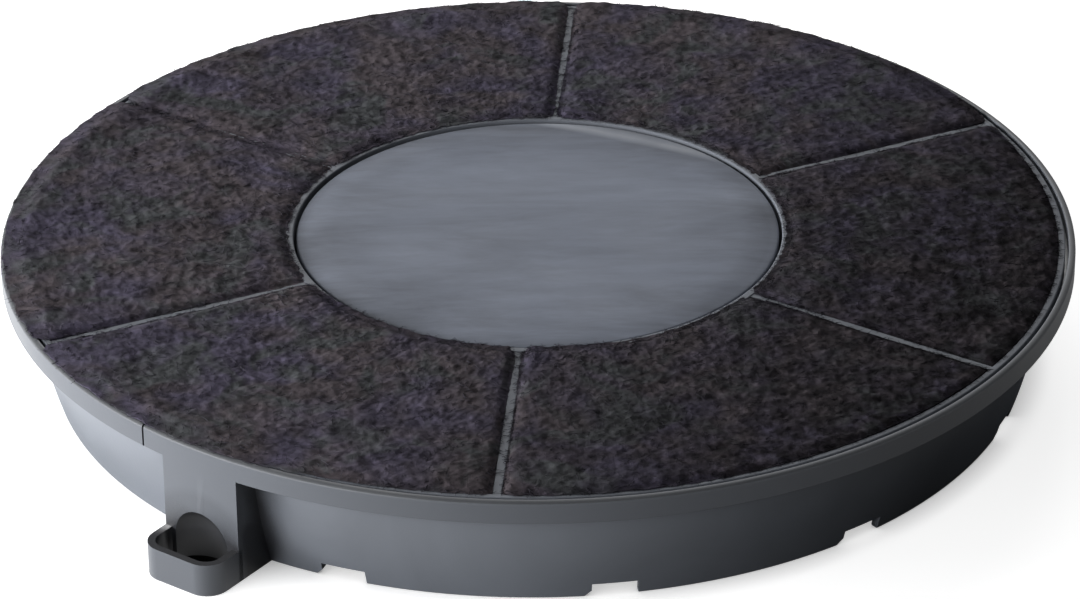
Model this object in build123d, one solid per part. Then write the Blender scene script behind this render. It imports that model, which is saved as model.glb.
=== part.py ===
from build123d import *
import math
import os

# Round carbon filter for a cooker hood, in millimetres.
# The origin is the centre of the bottom, on the axis. +Z points to the felt face that is seen in use.
# Angles are in degrees, counted anticlockwise from +X as seen from above.

# Overall sizes
lip_radius = 116.5
total_height = 28.3
lip_height = 5.0
lip_wall = 1.5
lip_chamfer = 0.6

# Tapered wall of the housing
shoulder_radius = 111.0
bottom_radius = 106.3
wall_bulge = 0.6
wall_thickness = 1.8
flange_thickness = 2.0
edge_chamfer = 0.3

# Ledge that carries the rear grille
ledge_top = 8.0
ledge_thickness = 1.5
ledge_width = 2.4

# Notches in the bottom edge
notch_places = 12
notch_left_out = 7
notch_first_angle = 12.4
notch_width = 9.6
notch_depth = 3.3
notch_corner_cut = 1.5

# Block with the finger loop
tab_angle = -121.9
tab_width = 19.0
loop_reach = 8.6
loop_height = 7.2
loop_wall = 1.6
loop_corner_radius = 4.8
scoop_radius = 7.3
scoop_inset = 4.8
scoop_rise = 6.2

# Narrow slit in the lip beside the block
slit_angle = -129.3
slit_width = 0.5
slit_depth = 1.0

# Cover frame
spoke_count = 6
spoke_first_angle = 30.0
spoke_width = 2.0
web_foot_width = 1.3
outer_ring_width = 1.5
inner_ring_width = 1.8
frame_below_lip = 0.2
spoke_below_frame = 0.2

# Hub cup
disc_radius = 52.5
disc_thickness = 2.0
disc_edge_drop = 0.5
disc_edge_width = 8.0
hub_wall = 2.0
hub_flange_width = 2.3
hub_flange_thickness = 1.8
hub_chamfer = 0.5
mouth_chamfer = 0.6

# Rear grille
grille_thickness = 2.2
grille_rim_width = 3.6
grille_collar_width = 2.6
grille_ring_count = 2
grille_ring_width = 1.6
grille_bar_count = 18
grille_bar_width = 1.8

# Felt
front_felt_thickness = 3.2
front_felt_rise = 0.8
rear_felt_thickness = 2.0

# Clearances
seam_clearance = 0.3
disc_gap = 0.7
seat_clearance = 0.3
felt_clearance = 0.2

# Heights and radii that follow
lip_bottom = total_height - lip_height
flange_top = lip_bottom + flange_thickness
frame_top = total_height - frame_below_lip
spoke_top = frame_top - spoke_below_frame
front_felt_top = spoke_top + front_felt_rise
front_felt_bottom = front_felt_top - front_felt_thickness
grille_top = ledge_top + grille_thickness
rear_felt_top = grille_top + rear_felt_thickness
hub_flange_top = grille_top + hub_flange_thickness
inner_ring_inner = disc_radius + disc_gap
inner_ring_outer = inner_ring_inner + inner_ring_width
outer_ring_outer = lip_radius - lip_wall - seam_clearance
outer_ring_inner = outer_ring_outer - outer_ring_width
bore_radius = disc_radius - hub_wall
cut_margin = 2.0


def wall_radius(height):
    """Outer radius of the tapered wall: one arc from the bottom edge to the shoulder."""
    run = shoulder_radius - bottom_radius
    chord = math.hypot(run, lip_bottom)
    arc_radius = chord**2 / (8 * wall_bulge) + wall_bulge / 2
    middle_r = (shoulder_radius + bottom_radius) / 2
    inset = arc_radius - wall_bulge
    centre_r = middle_r - inset * lip_bottom / chord
    centre_z = lip_bottom / 2 + inset * run / chord
    return centre_r + math.sqrt(arc_radius**2 - (height - centre_z) ** 2)


def inner_radius(height):
    """Inner radius of the wall, which has a straight taper inside."""
    taper = (shoulder_radius - bottom_radius) / lip_bottom
    return bottom_radius - wall_thickness + taper * min(height, lip_bottom)


def wall_arc(low, high, radius_at):
    middle = (low + high) / 2
    return ThreePointArc((radius_at(low), low), (radius_at(middle), middle), (radius_at(high), high))


def turned(profile):
    """Turns a profile, drawn as radius and height, about the vertical axis."""
    return revolve(Plane.XZ * profile, Axis.Z)


def ring(inner, outer, low, high):
    return Pos(0, 0, low) * extrude(Circle(outer) - Circle(inner), amount=high - low)


def bevel_corners(profile, places, size):
    """Bevels the corners of a profile that lie at the given radius and height."""
    chosen = [v for v in profile.vertices() if any(math.hypot(v.X - r, v.Y - z) < 0.01 for r, z in places)]
    return chamfer(chosen, size)


def web_angles():
    return [spoke_first_angle + i * 360 / spoke_count for i in range(spoke_count)]


def housing_shell():
    ledge_bottom = ledge_top - ledge_thickness
    ledge_inner = inner_radius(ledge_top) - ledge_width
    upstand = lip_radius - lip_wall
    outline = [
        Line((inner_radius(0), 0), (bottom_radius, 0)),
        wall_arc(0, lip_bottom, wall_radius),
        Line((shoulder_radius, lip_bottom), (lip_radius, lip_bottom)),
        Line((lip_radius, lip_bottom), (lip_radius, total_height)),
        Line((lip_radius, total_height), (upstand, total_height)),
        Line((upstand, total_height), (upstand, flange_top)),
        Line((upstand, flange_top), (inner_radius(lip_bottom), flange_top)),
        Line((inner_radius(lip_bottom), flange_top), (inner_radius(lip_bottom), lip_bottom)),
        Line((inner_radius(lip_bottom), lip_bottom), (inner_radius(ledge_top), ledge_top)),
        Line((inner_radius(ledge_top), ledge_top), (ledge_inner, ledge_top)),
        Line((ledge_inner, ledge_top), (ledge_inner, ledge_bottom)),
        Line((ledge_inner, ledge_bottom), (inner_radius(ledge_bottom), ledge_bottom)),
        Line((inner_radius(ledge_bottom), ledge_bottom), (inner_radius(0), 0)),
    ]
    profile = make_face(outline)
    profile = bevel_corners(profile, [(lip_radius, total_height)], lip_chamfer)
    profile = bevel_corners(profile, [(bottom_radius, 0), (lip_radius, lip_bottom)], edge_chamfer)
    return turned(profile)


def inside_of_wall():
    """Everything inside the middle of the wall's thickness, used to trim what is added outside."""
    half = wall_thickness / 2
    top = lip_bottom + cut_margin
    arc = wall_arc(0, lip_bottom, lambda height: wall_radius(height) - half)
    outline = [
        Line((0, -cut_margin), (bottom_radius - half, -cut_margin)),
        Line((bottom_radius - half, -cut_margin), (bottom_radius - half, 0)),
        arc,
        Line((shoulder_radius - half, lip_bottom), (shoulder_radius - half, top)),
        Line((shoulder_radius - half, top), (0, top)),
        Line((0, top), (0, -cut_margin)),
    ]
    return turned(make_face(outline))


def tab_block():
    """Block that stands out from the wall to the lip's radius, with a rounded scoop for the fingertip."""
    length = lip_radius - bottom_radius + wall_thickness + cut_margin
    middle = lip_radius + cut_margin - length / 2
    height = lip_bottom + flange_thickness / 2
    block = Pos(middle, 0, height / 2) * Box(length, tab_width, height)
    block &= Pos(0, 0, height / 2) * Cylinder(lip_radius, height)
    block -= inside_of_wall()
    scoop_centre = lip_radius + scoop_radius - scoop_inset
    scoop = Pos(scoop_centre, 0, scoop_rise) * Sphere(scoop_radius)
    scoop += Pos(scoop_centre, 0, (scoop_rise - cut_margin) / 2) * Cylinder(
        scoop_radius, scoop_rise + cut_margin
    )
    return block - scoop


def finger_loop():
    """Loop standing out from the foot of the block, open from top to bottom."""
    root = lip_radius - loop_wall
    outer_end = lip_radius + loop_reach
    length = outer_end - root
    outer = Pos(root + length / 2, 0) * Rectangle(length, tab_width)
    outer_corners = outer.vertices().sort_by(Axis.X)[-2:]
    outer = fillet(outer_corners, loop_corner_radius)
    hole = Pos(root + length / 2 - loop_wall, 0) * Rectangle(length, tab_width - 2 * loop_wall)
    hole_corners = hole.vertices().sort_by(Axis.X)[-2:]
    hole = fillet(hole_corners, loop_corner_radius - loop_wall)
    return extrude(outer - hole, amount=loop_height)


def notch_cutter(angle):
    """Notch through the bottom edge, square at one end and with a cut corner at the other."""
    half = notch_width / 2
    outline = Polyline(
        (-half - notch_corner_cut - cut_margin, -cut_margin),
        (half, -cut_margin),
        (half, notch_depth),
        (-half, notch_depth),
        (-half, notch_corner_cut),
        close=True,
    )
    depth = wall_thickness + 2 * cut_margin
    start = bottom_radius - wall_thickness - cut_margin
    cutter = extrude(Plane.YZ * make_face(outline), amount=depth)
    return Rot(0, 0, angle) * Pos(start, 0, 0) * cutter


def slit_cutter():
    tall = lip_height + cut_margin
    middle = lip_bottom + tall / 2
    cutter = Box(2 * slit_depth, slit_width, tall)
    return Rot(0, 0, slit_angle) * Pos(lip_radius, 0, middle) * cutter


def make_housing():
    body = housing_shell()
    body += Rot(0, 0, tab_angle) * (tab_block() + finger_loop())
    for i in range(notch_places):
        if i != notch_left_out:
            body -= notch_cutter(notch_first_angle + i * 360 / notch_places)
    body -= slit_cutter()
    return body


def web(angle):
    """Spoke whose foot reaches down between two charges of carbon, narrower at the foot."""
    root = inner_ring_outer - inner_ring_width / 2
    tip = outer_ring_outer - outer_ring_width / 2
    low_tip = inner_radius(rear_felt_top) - seat_clearance
    high_tip = inner_radius(lip_bottom) - seat_clearance
    outline = Polyline(
        (root, rear_felt_top),
        (low_tip, rear_felt_top),
        (high_tip, lip_bottom),
        (high_tip, flange_top),
        (tip, flange_top),
        (tip, spoke_top),
        (root, spoke_top),
        close=True,
    )
    plate = extrude(Plane.XZ * make_face(outline), amount=spoke_width / 2, both=True)
    top = spoke_width / 2
    foot = web_foot_width / 2
    section = Polyline(
        (-top, spoke_top),
        (-foot, rear_felt_top),
        (foot, rear_felt_top),
        (top, spoke_top),
        close=True,
    )
    taper = extrude(Plane.YZ * make_face(section), amount=lip_radius)
    return Rot(0, 0, angle) * (plate & taper)


def make_cover_frame():
    frame = ring(outer_ring_inner, outer_ring_outer, flange_top, frame_top)
    frame += ring(inner_ring_inner, inner_ring_outer, hub_flange_top, frame_top)
    for angle in web_angles():
        frame += web(angle)
    return frame


def make_hub_cup():
    """Cup whose end is the centre disc, with the socket for the motor's hub open at the back."""
    under_disc = frame_top - disc_thickness - disc_edge_drop
    flange_radius = disc_radius + hub_flange_width
    disc_flat = disc_radius - disc_edge_width
    edge_top = frame_top - disc_edge_drop
    edge_arc = TangentArc((disc_flat, frame_top), (disc_radius, edge_top), tangent=(1, 0))
    outline = [
        Line((0, under_disc), (0, frame_top)),
        Line((0, frame_top), (disc_flat, frame_top)),
        edge_arc,
        Line((disc_radius, edge_top), (disc_radius, hub_flange_top)),
        Line((disc_radius, hub_flange_top), (flange_radius, hub_flange_top)),
        Line((flange_radius, hub_flange_top), (flange_radius, grille_top)),
        Line((flange_radius, grille_top), (disc_radius, grille_top)),
        Line((disc_radius, grille_top), (disc_radius, ledge_top)),
        Line((disc_radius, ledge_top), (bore_radius + mouth_chamfer, ledge_top)),
        Line((bore_radius + mouth_chamfer, ledge_top), (bore_radius, ledge_top + mouth_chamfer)),
        Line((bore_radius, ledge_top + mouth_chamfer), (bore_radius, under_disc)),
        Line((bore_radius, under_disc), (0, under_disc)),
    ]
    profile = make_face(outline)
    profile = bevel_corners(profile, [(disc_radius, edge_top)], hub_chamfer)
    return turned(profile)


def make_rear_grille():
    """Flat grille of rings and bars, with a collar round the hub cup and a rim on the ledge."""
    outer = inner_radius(ledge_top) - seat_clearance
    inner = disc_radius + seat_clearance
    rim_inner = outer - grille_rim_width
    collar_outer = inner + grille_collar_width
    plan = Circle(outer) - Circle(rim_inner)
    plan += Circle(collar_outer) - Circle(inner)
    pitch = (rim_inner - collar_outer) / (grille_ring_count + 1)
    for i in range(grille_ring_count):
        middle = collar_outer + pitch * (i + 1)
        plan += Circle(middle + grille_ring_width / 2) - Circle(middle - grille_ring_width / 2)
    bar_start = (inner + collar_outer) / 2
    bar_end = (rim_inner + outer) / 2
    bar = Pos((bar_start + bar_end) / 2, 0) * Rectangle(bar_end - bar_start, grille_bar_width)
    for i in range(grille_bar_count):
        plan += Rot(0, 0, spoke_first_angle + i * 360 / grille_bar_count) * bar
    return Pos(0, 0, ledge_top) * extrude(plan, amount=grille_thickness)


def split_by_webs(body, clearance):
    """Cuts a ring into the pieces between the webs, counted from the one after the first web."""
    for angle in web_angles():
        width = spoke_width + 2 * clearance
        slot = Pos(lip_radius / 2, 0, total_height / 2) * Box(lip_radius, width, 2 * total_height)
        body -= Rot(0, 0, angle) * slot
    half_step = 180 / spoke_count

    def place(piece):
        centre = piece.center()
        heading = math.degrees(math.atan2(centre.Y, centre.X))
        return (heading - spoke_first_angle - half_step + 1) % 360

    return sorted(body.solids(), key=place)


def make_front_felts():
    """Felt pads, which stand a little higher than the spokes and the lip."""
    inner = inner_ring_outer + felt_clearance
    outer = outer_ring_inner - felt_clearance
    body = ring(inner, outer, front_felt_bottom, front_felt_top)
    return split_by_webs(body, felt_clearance)


def make_carbon_beds():
    inner = inner_ring_outer + felt_clearance
    low = rear_felt_top
    high = front_felt_bottom
    outline = Polyline(
        (inner, low),
        (inner_radius(low) - felt_clearance, low),
        (inner_radius(lip_bottom) - felt_clearance, lip_bottom),
        (inner_radius(lip_bottom) - felt_clearance, high),
        (inner, high),
        close=True,
    )
    return split_by_webs(turned(make_face(outline)), felt_clearance)


def make_rear_felt():
    inner = inner_ring_outer + felt_clearance
    outer = inner_radius(grille_top) - felt_clearance
    return ring(inner, outer, grille_top, rear_felt_top)


def main():
    os.makedirs("parts", exist_ok=True)
    export_step(make_housing(), "parts/housing.step")
    export_step(make_cover_frame(), "parts/cover_frame.step")
    export_step(make_hub_cup(), "parts/hub_cup.step")
    export_step(make_rear_grille(), "parts/rear_grille.step")
    export_step(make_rear_felt(), "parts/rear_felt.step")
    for number, felt in enumerate(make_front_felts(), start=1):
        export_step(felt, f"parts/front_felt_{number}.step")
    for number, bed in enumerate(make_carbon_beds(), start=1):
        export_step(bed, f"parts/carbon_bed_{number}.step")


main()
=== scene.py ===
import math
import random
from contextlib import contextmanager

import bpy
import numpy as np
from mathutils import Matrix, Vector


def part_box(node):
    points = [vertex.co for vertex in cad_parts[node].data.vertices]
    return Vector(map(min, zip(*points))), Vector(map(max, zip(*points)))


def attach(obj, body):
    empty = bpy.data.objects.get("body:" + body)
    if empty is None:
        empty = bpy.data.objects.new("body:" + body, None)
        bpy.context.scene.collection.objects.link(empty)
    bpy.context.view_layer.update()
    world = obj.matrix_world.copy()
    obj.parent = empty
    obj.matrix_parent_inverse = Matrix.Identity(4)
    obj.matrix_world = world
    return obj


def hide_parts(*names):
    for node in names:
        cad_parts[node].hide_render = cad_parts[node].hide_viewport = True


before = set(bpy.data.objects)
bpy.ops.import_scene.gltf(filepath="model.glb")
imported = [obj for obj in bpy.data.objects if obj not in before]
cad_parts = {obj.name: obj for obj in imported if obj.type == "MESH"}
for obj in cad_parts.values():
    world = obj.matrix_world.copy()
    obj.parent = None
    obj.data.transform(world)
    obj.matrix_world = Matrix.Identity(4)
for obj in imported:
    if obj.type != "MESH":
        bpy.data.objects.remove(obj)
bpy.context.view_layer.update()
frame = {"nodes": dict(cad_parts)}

bl_info = {
    "name": "Hood filter looks",
    "version": (1, 0, 0),
    "blender": (4, 5, 0),
    "location": "3D View > Sidebar > Hood filter",
    "description": "Models the visible surfaces of a round carbon filter for a cooker hood",
    "category": "Object",
}

MM = 0.001
HOUSING_LOW, HOUSING_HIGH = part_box("housing")
LIP_RADIUS = HOUSING_HIGH[0]
TOTAL_HEIGHT = HOUSING_HIGH[2]
FRAME_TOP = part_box("cover_frame")[1][2]
SPOKE_TOP = FRAME_TOP - 0.2 * MM
SPOKE_COUNT = 6
FIRST_SPOKE = math.radians(30)
SPOKE_LAPS = [lap * MM for lap in (0.12, 0.25, 0.95, 0.1, 0.0, 0.12)]
BODY = "root"

# Faces round a large ring and round a smaller one.
WIDE_RING = 360
SMALL_RING = 240

# How far a cutter stands past what it cuts.
OVERCUT = 1 * MM

# Points closer than this are one point.
WELD = 1e-6


# Properties


def length(name, description, millimetres):
    default = millimetres * MM
    return bpy.props.FloatProperty(
        name=name, description=description, default=default, min=0, subtype="DISTANCE", unit="LENGTH", precision=4
    )


def lengths(name, description, default):
    return bpy.props.FloatVectorProperty(
        name=name, description=description, default=default, size=len(default), unit="LENGTH", precision=5
    )


def colour(name, description, *default):
    return bpy.props.FloatVectorProperty(
        name=name, description=description, default=(*default, 1), size=4, min=0, max=1, subtype="COLOR"
    )


def angle(name, description, degrees):
    default = math.radians(degrees)
    return bpy.props.FloatProperty(
        name=name, description=description, default=default, subtype="ANGLE", unit="ROTATION"
    )


def number(name, description, default):
    return bpy.props.FloatProperty(name=name, description=description, default=default, min=0)


def count(name, description, default):
    return bpy.props.IntProperty(name=name, description=description, default=default, min=1)


class HousingSizes(bpy.types.PropertyGroup):
    lip_height: length("Lip height", "Height of the band round the top", 5.0)
    lip_wall: length("Lip wall", "Thickness of the lip's upstand", 1.5)
    lip_rounding: length("Lip rounding", "Radius of the lip's top edge", 0.75)
    small_rounding: length("Small rounding", "Radius of the other edges", 0.3)
    shoulder_radius: length("Shoulder radius", "Radius of the wall just under the lip", 111.0)
    bottom_radius: length("Bottom radius", "Radius of the wall at its bottom edge", 106.3)
    wall_bulge: length("Wall bulge", "How far the wall bows out of the straight", 0.6)
    wall_thickness: length("Wall thickness", "Thickness of the moulded wall", 1.8)
    flange_thickness: length("Flange thickness", "Thickness of the flange under the lip", 2.0)
    ledge_top: length("Ledge top", "Height of the ledge that carries the rear grille", 8.0)
    ledge_thickness: length("Ledge thickness", "Thickness of that ledge", 1.5)
    ledge_width: length("Ledge width", "How far the ledge stands in from the wall", 2.4)
    notch_first: angle("First notch", "Angle of the first notch", 12.4)
    notch_width: length("Notch width", "Width of each notch in the bottom edge", 9.6)
    notch_depth: length("Notch depth", "Depth of each notch", 3.3)
    notch_corner: length("Notch corner", "Size of the cut corner of each notch", 1.5)
    tab_angle: angle("Block angle", "Angle of the block with the finger loop", -121.9)
    tab_width: length("Block width", "Width of the block and its loop", 19.0)
    loop_reach: length("Loop reach", "How far the loop stands out from the lip", 8.6)
    loop_height: length("Loop height", "Height of the loop", 7.2)
    loop_wall: length("Loop wall", "Thickness of the loop", 1.6)
    loop_corner: length("Loop corner", "Outer radius of the loop's corners", 4.8)
    scoop_radius: length("Scoop radius", "Radius of the fingertip scoop", 7.3)
    scoop_inset: length("Scoop inset", "Depth of the scoop behind the block's face", 4.8)
    scoop_rise: length("Scoop rise", "Height of the scoop's centre", 6.2)
    slit_angle: angle("Slit angle", "Angle of the narrow slit in the lip", -129.3)
    slit_width: length("Slit width", "Width of the slit", 0.5)
    slit_depth: length("Slit depth", "Depth of the slit", 1.0)


class FrameSizes(bpy.types.PropertyGroup):
    seam: length("Seam", "Gap between the lip and the cover frame", 0.7)
    ring_width: length("Outer ring width", "Width of the cover frame's outer ring", 1.5)
    inner_width: length("Inner ring width", "Width of the cover frame's inner ring", 1.8)
    spoke_width: length("Spoke width", "Width of a spoke at its top", 2.0)
    foot_width: length("Foot width", "Width of a spoke's foot", 1.3)
    disc_gap: length("Disc gap", "Gap between the disc and the inner ring", 0.7)
    rounding: length("Rounding", "Radius of the frame's edges", 0.3)
    disc_radius: length("Disc radius", "Radius of the centre disc", 52.5)
    disc_drop: length("Disc drop", "How far the disc's edge lies under its middle", 0.5)
    disc_edge: length("Disc edge", "Width of the disc's curved edge", 8.0)
    disc_thickness: length("Disc thickness", "Thickness of the disc", 2.0)
    hub_wall: length("Hub wall", "Thickness of the hub cup's wall", 2.0)
    hub_flange: length("Hub flange", "Width of the hub cup's flange", 2.3)


class FeltSizes(bpy.types.PropertyGroup):
    clearance: length("Clearance", "Gap between felt and plastic", 0.2)
    spoke_laps: lengths("Laps over spokes", "Lap over each spoke, from the first one on", SPOKE_LAPS)
    inner_spoke_lap: length("Lap near the disc", "Extra lap over a spoke's inner end", 0.4)
    outer_lap: length("Lap over the outer ring", "How far the felt laps over the outer ring", 0.85)
    inner_lap: length("Lap over the inner ring", "How far it laps over the inner ring", 1.15)
    front_lap: length("Extra lap in front of the disc", "More lap over the inner ring there", 0.85)
    far_lap: length("Lap over the far rim", "How far it laps over the rim at the far side", 3.1)
    far_rise: length("Rise at the far rim", "How much higher the felt stands there", 0.45)
    edge_fall: length("Edge fall", "How far the felt's edge lies under its middle", 0.45)
    spoke_fall: length("Fall at the spokes", "How much farther the edges fall beside a spoke", 0.25)
    edge_width: length("Edge width", "Width of the falling edge", 2.2)
    clump_size: length("Clump size", "Size of the clumps of fibre", 1.9)
    clump_height: length("Clump height", "Height of the clumps of fibre", 0.62)
    fibre_radius: length("Fibre radius", "Radius of a loose fibre", 0.06)
    radial_steps: count("Radial steps", "Rows of faces along a spoke", 150)
    angular_steps: count("Angular steps", "Rows of faces from spoke to spoke", 230)
    fibres: count("Fibres", "Loose fibres on each pad", 1000)
    edge_fibres: count("Edge fibres", "Loose fibres along the edges of a pad", 800)


class Finishes(bpy.types.PropertyGroup):
    plastic: colour("Plastic", "Colour of the housing", 0.165, 0.180, 0.208)
    frame: colour("Cover frame", "Colour of the cover frame", 0.135, 0.146, 0.168)
    disc: colour("Disc", "Colour of the centre disc", 0.1370, 0.1530, 0.1910)
    felt: colour("Felt", "Middle colour of the felt", 0.0465, 0.0436, 0.0548)
    carbon: colour("Carbon", "Colour of the granules", 0.014, 0.014, 0.015)


class StageSizes(bpy.types.PropertyGroup):
    camera_distance: length("Camera distance", "From the centre of the lip's top", 1059.7)
    camera_turn: angle("Camera turn", "Turn of the camera about the vertical axis", 4.37)
    camera_elevation: angle("Camera elevation", "Height of the camera over the horizon", 27.68)
    camera_yaw: angle("Camera yaw", "Small turn of the camera to the left", -0.018)
    camera_pitch: angle("Camera pitch", "Small tilt of the camera upwards", -0.845)
    camera_roll: angle("Camera roll", "Small clockwise turn of the picture", 0.573)
    lens: number("Lens", "Focal length in millimetres on a sensor 36 mm wide", 162.3)
    back: number("Back light", "Power of the light behind the object", 7.1)
    left: number("Left light", "Power of the low light at the left", 10.2)
    front_left: number("Front left light", "Power of the light at the front left", 2.5)
    low_left: number("Low light", "Power of the narrow light close to the floor", 2.0)
    sky: number("Sky", "Strength of the plain surroundings", 0.02)


def settings():
    return bpy.context.scene.hood_filter


# Modelling helpers


def let_go():
    """Leaves edit mode, with nothing selected."""
    if bpy.context.object and bpy.context.object.mode != "OBJECT":
        bpy.ops.object.mode_set(mode="OBJECT")
    bpy.ops.object.select_all(action="DESELECT")


def pick(piece):
    let_go()
    piece.select_set(True)
    bpy.context.view_layer.objects.active = piece


@contextmanager
def all_selected(piece):
    """Edit mode on a piece, with all of its mesh selected."""
    pick(piece)
    bpy.ops.object.mode_set(mode="EDIT")
    bpy.ops.mesh.select_all(action="SELECT")
    yield
    bpy.ops.object.mode_set(mode="OBJECT")


def named(name):
    piece = bpy.context.object
    piece.name = name
    piece.data.name = name
    return piece


def linked(name, data):
    """New object in the scene."""
    item = bpy.data.objects.new(name, data)
    bpy.context.scene.collection.objects.link(item)
    return item


def settle(piece):
    """Moves a piece's place, turn and scale into its mesh."""
    pick(piece)
    bpy.ops.object.transform_apply(location=True, rotation=True, scale=True)
    return piece


def turned_to(piece, turn):
    """Turns a piece about the vertical axis and keeps the turn in its mesh."""
    piece.rotation_euler = (0, 0, turn)
    return settle(piece)


def laid(piece, *rows):
    """Lays an upright piece on its side. The rows say what its X, Y and Z turn into."""
    piece.matrix_world = Matrix(rows).to_4x4()
    return settle(piece)


def mend(piece):
    """Closes seams and turns all faces outwards."""
    with all_selected(piece):
        bpy.ops.mesh.remove_doubles(threshold=WELD)
        bpy.ops.mesh.normals_make_consistent(inside=False)
    return piece


def rounded_outline(corners, steps=4):
    """Points of a closed outline. Each corner is (x, y, radius), and a radius of 0 keeps it sharp."""
    points = []
    for i, (x, y, radius) in enumerate(corners):
        here = Vector((x, y))
        if radius <= 0:
            points.append((x, y))
            continue
        before = Vector(corners[i - 1][:2]) - here
        after = Vector(corners[(i + 1) % len(corners)][:2]) - here
        half = before.angle(after) / 2
        reach = radius / math.tan(half)
        start = here + before.normalized() * reach
        end = here + after.normalized() * reach
        centre = here + (before.normalized() + after.normalized()).normalized() * (radius / math.sin(half))
        first, last = start - centre, end - centre
        sweep = first.angle_signed(last)
        for k in range(steps + 1):
            turn = Matrix.Rotation(-sweep * k / steps, 2)
            points.append(tuple(centre + turn @ first))
    return points


def lathe(name, outline, segments):
    """Turns a closed outline of (radius, height) points about the vertical axis, ring by ring."""
    let_go()
    radius, height = outline[0]
    bpy.ops.mesh.primitive_circle_add(vertices=segments, radius=radius, location=(0, 0, height))
    piece = settle(named(name))
    with all_selected(piece):
        for next_radius, next_height in list(outline[1:]) + [outline[0]]:
            rise = (0, 0, next_height - height)
            bpy.ops.mesh.extrude_edges_move(TRANSFORM_OT_translate={"value": rise})
            share = next_radius / radius
            bpy.ops.transform.resize(value=(share, share, 1), center_override=(0, 0, next_height))
            radius, height = next_radius, next_height
    return mend(piece)


def prism(name, outline, low, high):
    """Upright solid with the given outline of (x, y) points."""
    let_go()
    bpy.ops.mesh.primitive_circle_add(vertices=len(outline), radius=1, fill_type="NGON")
    piece = named(name)
    for vertex, (x, y) in zip(piece.data.vertices, outline):
        vertex.co = (x, y, low)
    with all_selected(piece):
        bpy.ops.mesh.extrude_region_move(TRANSFORM_OT_translate={"value": (0, 0, high - low)})
    return mend(piece)


def modify(piece, kind, **fields):
    """Adds a modifier with the given fields and applies it."""
    pick(piece)
    step = piece.modifiers.new(kind.lower(), kind)
    for key, value in fields.items():
        setattr(step, key, value)
    bpy.ops.object.modifier_apply(modifier=step.name)
    return piece


def combine(piece, other, operation):
    """Joins, cuts or trims a piece with another, which is used up."""
    modify(piece, "BOOLEAN", operation=operation, solver="EXACT", object=other)
    bpy.data.objects.remove(other, do_unlink=True)
    return piece


def shade(piece, limit):
    pick(piece)
    bpy.ops.object.shade_smooth_by_angle(angle=math.radians(limit))
    return piece


def finish_moulding(piece, width, limit):
    """Rounds the sharp edges. The large faces then set the shading, so that narrow ones leave no streaks."""
    mend(piece)
    modify(piece, "BEVEL", width=width, segments=2, limit_method="ANGLE", angle_limit=math.radians(limit))
    shade(piece, 32)
    return modify(piece, "WEIGHTED_NORMAL", keep_sharp=True, weight=80)


def raise_clumps(piece, name, size, height, middle):
    """Raises clumps of fibre on the loose part of a pad."""
    clouds = bpy.data.textures.new(name, "CLOUDS")
    clouds.noise_scale = size
    fields = {"texture": clouds, "texture_coords": "LOCAL", "direction": "Z", "vertex_group": "loose"}
    return modify(piece, "DISPLACE", strength=height, mid_level=middle, **fields)


def complete(piece, material, slot, *nodes):
    """Gives a finished piece its material and its body, and hides the node that it stands for."""
    if not piece.data.materials:
        piece.data.materials.append(material)
    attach(piece, BODY)
    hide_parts(*nodes)
    return piece


# Shader helpers


def node(tree, kind, values=None, **fields):
    """Adds a node, sets its fields, and sets or links its inputs."""
    made = tree.nodes.new(kind)
    for key, value in fields.items():
        setattr(made, key, value)
    for key, value in (values or {}).items():
        if isinstance(value, bpy.types.NodeSocket):
            tree.links.new(value, made.inputs[key])
        else:
            made.inputs[key].default_value = value
    return made


def maths(tree, operation, *values, clamp=False):
    return node(tree, "ShaderNodeMath", dict(enumerate(values)), operation=operation, use_clamp=clamp).outputs[0]


def times(tree, *values, clamp=False):
    return maths(tree, "MULTIPLY", *values, clamp=clamp)


def vectors(tree, operation, *values):
    """Vector maths, of which a length, a distance or a dot product is a plain value."""
    made = node(tree, "ShaderNodeVectorMath", dict(enumerate(values)), operation=operation)
    plain = operation in ("LENGTH", "DISTANCE", "DOT_PRODUCT")
    return made.outputs["Value" if plain else "Vector"]


def spread(tree, value, low, high, out_low=0.0, out_high=1.0):
    """Takes a value from one range to another and holds it at the ends."""
    values = {"Value": value, "From Min": low, "From Max": high, "To Min": out_low, "To Max": out_high}
    return node(tree, "ShaderNodeMapRange", values).outputs["Result"]


def noise(tree, place, scale, detail, roughness, distortion=0.0):
    values = {"Vector": place, "Scale": scale, "Detail": detail, "Roughness": roughness, "Distortion": distortion}
    return node(tree, "ShaderNodeTexNoise", values).outputs["Fac"]


def blend(tree, factor, first, second):
    """Blends two colours."""
    return node(tree, "ShaderNodeMix", {0: factor, 6: first, 7: second}, data_type="RGBA").outputs[2]


def layered(tree, tone, *layers):
    """Lays colours over a tone, each given with its mask."""
    for mask, over in layers:
        tone = blend(tree, mask, tone, over)
    return tone


def scaled(base, red, green=None, blue=None):
    """A colour made paler or darker, evenly or by a share for each of its parts."""
    return (base[0] * red, base[1] * (green or red), base[2] * (blue or red), 1.0)


def object_place(tree):
    return tree.nodes.new("ShaderNodeTexCoord").outputs["Object"]


def part_of(tree, vector, axis):
    return node(tree, "ShaderNodeSeparateXYZ", {0: vector}).outputs[axis]


def spun(tree, place, turn):
    return node(tree, "ShaderNodeVectorRotate", {"Vector": place, "Angle": turn}).outputs["Vector"]


def drawn_out(tree, place, scale):
    return node(tree, "ShaderNodeMapping", {"Vector": place, "Scale": scale}).outputs["Vector"]


def off_axis(tree, place):
    """Distance from the vertical axis."""
    return vectors(tree, "LENGTH", vectors(tree, "MULTIPLY", place, (1.0, 1.0, 0.0)))


def surface_normal(tree):
    return tree.nodes.new("ShaderNodeNewGeometry").outputs["Normal"]


def upward(tree, low, high, out_low=0.0, out_high=1.0):
    """How far a face looks up."""
    return spread(tree, part_of(tree, surface_normal(tree), "Z"), low, high, out_low, out_high)


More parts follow.
